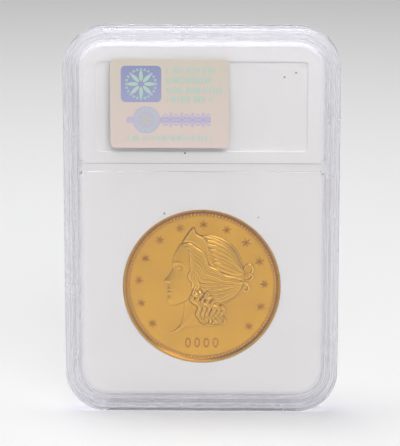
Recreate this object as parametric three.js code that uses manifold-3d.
// Graded coin slab: a sealed clear holder that shows one coin in a white insert.
//
// Millimetres, +Z up. The slab stands on its bottom edge, with the origin at the centre of that
// edge. The sticker side (rear) faces -Y, the label side (front) faces +Y.
//
// Pieces are drawn in the slab's own plane (x to the right and y up when the rear is faced, z from
// the weld seam towards the rear) and one turned group stands them up.

import * as THREE from 'three';
import { mergeVertices } from 'three/addons/utils/BufferGeometryUtils.js';
import Module from 'manifold-3d';

// ---- driving dimensions ----

const SLAB_WIDTH = 59;
const SLAB_HEIGHT = 84;
const SLAB_THICKNESS = 8;
const CORNER_RADIUS = 9;
const EDGE_ROUND = 0.7;

const WALL_WIDTH = 3.2; // solid clear wall round the insert
const RIM_WIDTH = 1.8; // flat top of the raised rear rim
const RIM_HEIGHT = 0.9; // rim above the window panel, on both sides
const RIM_SLOPE = 1.0; // width of the chamfer from rim to panel
const NEST_CLEARANCE = 0.25; // between the front frame and the rear rim of the next slab
const FRAME_WIDTH = 1.2; // flat top of the front frame

const TONGUE_WIDTH = 0.8;
const TONGUE_HEIGHT = 0.7;
const WELD_CLEARANCE = 0.15;
const SEAM_BEVEL = 0.2; // fine V round the outside, where the shells meet

const FIT_CLEARANCE = 0.1; // between the insert and whatever lies against it

const CORE_CHAMFER_WIDTH = 0.75;
const CORE_CHAMFER_DEPTH = 0.2;

const COIN_DIAMETER = 34.1;
const COIN_THICKNESS = 2.4;
const COIN_RECESS = 0.3; // the coin's rim below each face of the insert
const COIN_DROP = 0.6; // the coin's centre below the middle of its window
const COIN_RIM_WIDTH = 0.8;
const COIN_FIELD_DEPTH = 0.3;
const COIN_EDGE_BEVEL = 0.2;
const DOME_RADIUS = 12; // soft dome that stands for the struck relief
const DOME_HEIGHT = 0.22;
const BORE_RELIEF = 0.25; // insert bore clear of the coin's edge
const CRUSH_RIBS = 8;
const CRUSH_RIB_RADIUS = 0.5;

const DIVIDER_GAP = 2.65; // between the label pocket and the cross rib
const DIVIDER_WIDTH = 1.8;
const DIVIDER_RISE = 0.3; // rib above the inner face of its panel
const LUG_HEIGHT = 3.0;
const LUG_REACH = 0.7; // how far a lug stands in from the side wall

const LABEL_MARGIN = 3.7; // between the label and each side of the insert
const LABEL_TOP_MARGIN = 4.05; // between the label and the top of the insert
const LABEL_HEIGHT = 19.3;
const LABEL_THICKNESS = 0.3;
const LABEL_CORNER = 1;

const STICKER_WIDTH = 25.3;
const STICKER_HEIGHT = 19.1;
const STICKER_THICKNESS = 0.1;
const STICKER_CORNER = 1.2;
const STICKER_INDENT = 3.05; // the sticker's left edge in from the label's
const STICKER_RISE = 0.75; // the sticker's top edge above the label's
const GLUE_LINE = 0.02;

// ---- sizes that follow from them ----

const HALF = SLAB_THICKNESS / 2;
const PANEL_FACE = HALF - RIM_HEIGHT;
const CORE_HALF = COIN_THICKNESS / 2 + COIN_RECESS;
const CAVITY_HALF = CORE_HALF + FIT_CLEARANCE;
const CORE_INSET = WALL_WIDTH + FIT_CLEARANCE;

const LABEL_WIDTH = SLAB_WIDTH - 2 * (CORE_INSET + LABEL_MARGIN);
const LABEL_TOP = SLAB_HEIGHT - CORE_INSET - LABEL_TOP_MARGIN;
const LABEL_CENTRE_HEIGHT = LABEL_TOP - LABEL_HEIGHT / 2;
const POCKET_DEPTH = LABEL_THICKNESS + FIT_CLEARANCE;

const DIVIDER_TOP = LABEL_TOP - LABEL_HEIGHT - DIVIDER_GAP;
const DIVIDER_HEIGHT = DIVIDER_TOP - DIVIDER_WIDTH / 2;

const BORE_RADIUS = COIN_DIAMETER / 2 + BORE_RELIEF;
const COIN_CENTRE_HEIGHT = (CORE_INSET + DIVIDER_TOP - DIVIDER_WIDTH) / 2 - COIN_DROP;

const STICKER_CENTRE_X = (STICKER_WIDTH - LABEL_WIDTH) / 2 + STICKER_INDENT;
const STICKER_CENTRE_HEIGHT = LABEL_TOP + STICKER_RISE - STICKER_HEIGHT / 2;

const OVERCUT = 1; // how far a cutting tool runs past the face that it cuts
const FULL_TURN = Math.PI * 2;

// ---- solids: shapes from three.js, booleans from manifold ----

const wasm = await Module();
wasm.setup();

function solidOf(geometry) {
  const bare = geometry.index ? geometry.toNonIndexed() : geometry.clone();
  bare.deleteAttribute('normal');
  bare.deleteAttribute('uv');
  const welded = mergeVertices(bare, 1e-5);
  return new wasm.Manifold(new wasm.Mesh({
    numProp: 3,
    vertProperties: new Float32Array(welded.attributes.position.array),
    triVerts: new Uint32Array(welded.index.array),
  }));
}

function geometryOf(solid) {
  const mesh = solid.getMesh();
  const geometry = new THREE.BufferGeometry();
  geometry.setAttribute('position', new THREE.BufferAttribute(mesh.vertProperties, 3));
  geometry.setIndex(new THREE.BufferAttribute(mesh.triVerts, 1));
  geometry.computeVertexNormals();
  return geometry;
}

// Rounded rectangle centred on (cx, cy).
function roundedRect(width, height, radius, cx = 0, cy = 0) {
  const r = Math.max(0.05, Math.min(radius, width / 2, height / 2));
  const right = cx + width / 2 - r;
  const left = cx - width / 2 + r;
  const top = cy + height / 2 - r;
  const bottom = cy - height / 2 + r;
  const shape = new THREE.Shape();
  shape.absarc(right, top, r, 0, Math.PI / 2);
  shape.absarc(left, top, r, Math.PI / 2, Math.PI);
  shape.absarc(left, bottom, r, Math.PI, Math.PI * 1.5);
  shape.absarc(right, bottom, r, Math.PI * 1.5, FULL_TURN);
  shape.closePath();
  return shape;
}

// The slab's outline moved in by inset all round.
function slabOutline(inset) {
  return roundedRect(
    SLAB_WIDTH - 2 * inset,
    SLAB_HEIGHT - 2 * inset,
    CORNER_RADIUS - inset,
    0,
    SLAB_HEIGHT / 2,
  );
}

// Flat plate of a shape between two levels.
function plate(shape, low, high, curveSegments = 8) {
  const geometry = new THREE.ExtrudeGeometry(shape, {
    depth: high - low,
    bevelEnabled: false,
    curveSegments,
  });
  geometry.translate(0, 0, low);
  return solidOf(geometry);
}

// Plate whose edges are cut back by width over depth at both faces; the shape is its widest outline.
function bevelledPlate(shape, low, high, width, depth, steps = 1, curveSegments = 8) {
  const geometry = new THREE.ExtrudeGeometry(shape, {
    depth: high - low - 2 * depth,
    bevelEnabled: true,
    bevelThickness: depth,
    bevelSize: width,
    bevelOffset: -width,
    bevelSegments: steps,
    curveSegments,
  });
  geometry.translate(0, 0, low + depth);
  return solidOf(geometry);
}

function box(x0, x1, y0, y1, z0, z1) {
  const geometry = new THREE.BoxGeometry(x1 - x0, y1 - y0, z1 - z0);
  geometry.translate((x0 + x1) / 2, (y0 + y1) / 2, (z0 + z1) / 2);
  return solidOf(geometry);
}

// ---- features shared by the two shells ----

// One half of the outside, from the seam to its face: rounded at the face, with the fine V's flank
// at the seam. Side 1 is the rear, -1 the front.
function shellBlank(side, face) {
  const flank = side > 0
    ? bevelledPlate(slabOutline(0), 0, SLAB_THICKNESS, SEAM_BEVEL, SEAM_BEVEL)
    : bevelledPlate(slabOutline(0), -SLAB_THICKNESS, 0, SEAM_BEVEL, SEAM_BEVEL);
  return bevelledPlate(slabOutline(0), -face, face, EDGE_ROUND, EDGE_ROUND, 3).intersect(flank);
}

// Space for the insert, less the cross ribs and lugs that locate it.
function cavity() {
  const room = plate(slabOutline(WALL_WIDTH), -CAVITY_HALF, CAVITY_HALF);
  return room.subtract(dividerRibs(0));
}

// Cross rib on each panel and a lug on each side wall; grown makes the matching grooves.
function dividerRibs(grown) {
  const inside = SLAB_WIDTH / 2 - WALL_WIDTH;
  const half = DIVIDER_WIDTH / 2 + grown;
  const rise = CAVITY_HALF - DIVIDER_RISE - grown;
  const y0 = DIVIDER_HEIGHT - half;
  const y1 = DIVIDER_HEIGHT + half;
  const wide = inside + OVERCUT;
  const lugHalf = LUG_HEIGHT / 2 + grown;
  const lug = (x0, x1) => box(
    x0, x1, DIVIDER_HEIGHT - lugHalf, DIVIDER_HEIGHT + lugHalf, -HALF, HALF);
  return box(-wide, wide, y0, y1, rise, HALF)
    .add(box(-wide, wide, y0, y1, -HALF, -rise))
    .add(lug(inside - LUG_REACH - grown, wide))
    .add(lug(-wide, -(inside - LUG_REACH - grown)));
}

// Closed band that follows the wall's middle; grown widens it into the groove.
function weldBand(grown, height) {
  const middle = WALL_WIDTH / 2;
  const outer = plate(slabOutline(middle - TONGUE_WIDTH / 2 - grown), -OVERCUT, height);
  const inner = plate(slabOutline(middle + TONGUE_WIDTH / 2 + grown), -2 * OVERCUT, height + OVERCUT);
  return outer.subtract(inner);
}

// ---- the pieces ----

function rearShell() {
  const window = bevelledPlate(
    slabOutline(RIM_WIDTH), PANEL_FACE, HALF + RIM_HEIGHT, RIM_SLOPE, RIM_HEIGHT);
  return shellBlank(1, HALF)
    .subtract(window)
    .subtract(cavity())
    .subtract(weldBand(WELD_CLEARANCE, TONGUE_HEIGHT + WELD_CLEARANCE));
}

function frontShell() {
  const frameFoot = RIM_WIDTH + NEST_CLEARANCE;
  const frame = bevelledPlate(slabOutline(frameFoot), -HALF, 0, RIM_SLOPE, RIM_HEIGHT);
  const window = bevelledPlate(
    slabOutline(frameFoot + RIM_SLOPE + FRAME_WIDTH),
    -HALF - RIM_HEIGHT, -PANEL_FACE, RIM_SLOPE, RIM_HEIGHT);
  return shellBlank(-1, PANEL_FACE)
    .add(frame)
    .subtract(window)
    .subtract(cavity())
    .add(weldBand(0, TONGUE_HEIGHT));
}

function coreInsert() {
  const body = bevelledPlate(
    slabOutline(CORE_INSET), -CORE_HALF, CORE_HALF,
    CORE_CHAMFER_WIDTH, CORE_CHAMFER_DEPTH);
  const pocket = roundedRect(
    LABEL_WIDTH + 2 * FIT_CLEARANCE, LABEL_HEIGHT + 2 * FIT_CLEARANCE, LABEL_CORNER,
    0, LABEL_CENTRE_HEIGHT);
  const bore = new THREE.Shape();
  bore.absarc(0, COIN_CENTRE_HEIGHT, BORE_RADIUS, 0, FULL_TURN);
  let core = body
    .subtract(plate(bore, -HALF, HALF, 48))
    .subtract(dividerRibs(FIT_CLEARANCE))
    .subtract(plate(pocket, CORE_HALF - POCKET_DEPTH, HALF, 4))
    .subtract(plate(pocket, -HALF, -CORE_HALF + POCKET_DEPTH, 4));
  const ribCentre = COIN_DIAMETER / 2 + FIT_CLEARANCE + CRUSH_RIB_RADIUS;
  for (let i = 0; i < CRUSH_RIBS; i++) {
    const angle = (i + 0.5) * FULL_TURN / CRUSH_RIBS;
    const rib = new THREE.Shape();
    rib.absarc(
      ribCentre * Math.cos(angle), COIN_CENTRE_HEIGHT + ribCentre * Math.sin(angle),
      CRUSH_RIB_RADIUS, 0, FULL_TURN);
    core = core.add(plate(rib, -CORE_HALF + CORE_CHAMFER_DEPTH, CORE_HALF - CORE_CHAMFER_DEPTH, 5));
  }
  return core;
}

// Turned profile of the coin: flat rim, sunk field and a soft dome on each face.
function coinGeometry() {
  const radius = COIN_DIAMETER / 2;
  const half = COIN_THICKNESS / 2;
  const field = half - COIN_FIELD_DEPTH;
  const rimInside = radius - COIN_RIM_WIDTH;
  const face = (sign) => [
    [0, field + DOME_HEIGHT],
    [DOME_RADIUS / 2, field + DOME_HEIGHT * 3 / 4],
    [DOME_RADIUS, field],
    [rimInside - COIN_EDGE_BEVEL, field],
    [rimInside, half],
    [radius - COIN_EDGE_BEVEL, half],
    [radius, half - COIN_EDGE_BEVEL],
  ].map(([r, z]) => new THREE.Vector2(r, sign * z));
  const profile = [...face(-1), ...face(1).reverse()];
  const geometry = new THREE.LatheGeometry(profile, 96);
  geometry.rotateX(Math.PI / 2);
  geometry.translate(0, COIN_CENTRE_HEIGHT, 0);
  return geometryOf(solidOf(geometry));
}

function label() {
  const floor = -CORE_HALF + POCKET_DEPTH;
  const card = roundedRect(LABEL_WIDTH, LABEL_HEIGHT, LABEL_CORNER, 0, LABEL_CENTRE_HEIGHT);
  const back = floor - FIT_CLEARANCE / 2;
  return plate(card, back - LABEL_THICKNESS, back, 4);
}

function sticker() {
  const outline = roundedRect(
    STICKER_WIDTH, STICKER_HEIGHT, STICKER_CORNER, STICKER_CENTRE_X, STICKER_CENTRE_HEIGHT);
  const back = PANEL_FACE + GLUE_LINE;
  return plate(outline, back, back + STICKER_THICKNESS, 5);
}

// ---- materials and assembly ----

function material(color, roughness, metalness = 0, opacity = 1) {
  return new THREE.MeshStandardMaterial({
    color, roughness, metalness, opacity, transparent: opacity < 1,
  });
}

const slab = new THREE.Group();

function addPiece(name, geometry, finish) {
  const mesh = new THREE.Mesh(geometry, finish);
  mesh.name = name;
  slab.add(mesh);
}

addPiece('rear_shell', geometryOf(rearShell()), material(0xd9d8e2, 0.12, 0, 0.35));
addPiece('front_shell', geometryOf(frontShell()), material(0xd9d8e2, 0.12, 0, 0.35));
addPiece('core_insert', geometryOf(coreInsert()), material(0xe4e3e1, 0.55));
addPiece('coin', coinGeometry(), material(0xd8a848, 0.32, 1));
addPiece('grade_label', geometryOf(label()), material(0xf2efe6, 0.7));
addPiece('hologram_sticker', geometryOf(sticker()), material(0xdccdc4, 0.35, 0.3));

// Stand the slab up: its own y becomes +Z, and its rear faces -Y.
slab.rotation.x = Math.PI / 2;

export default slab;
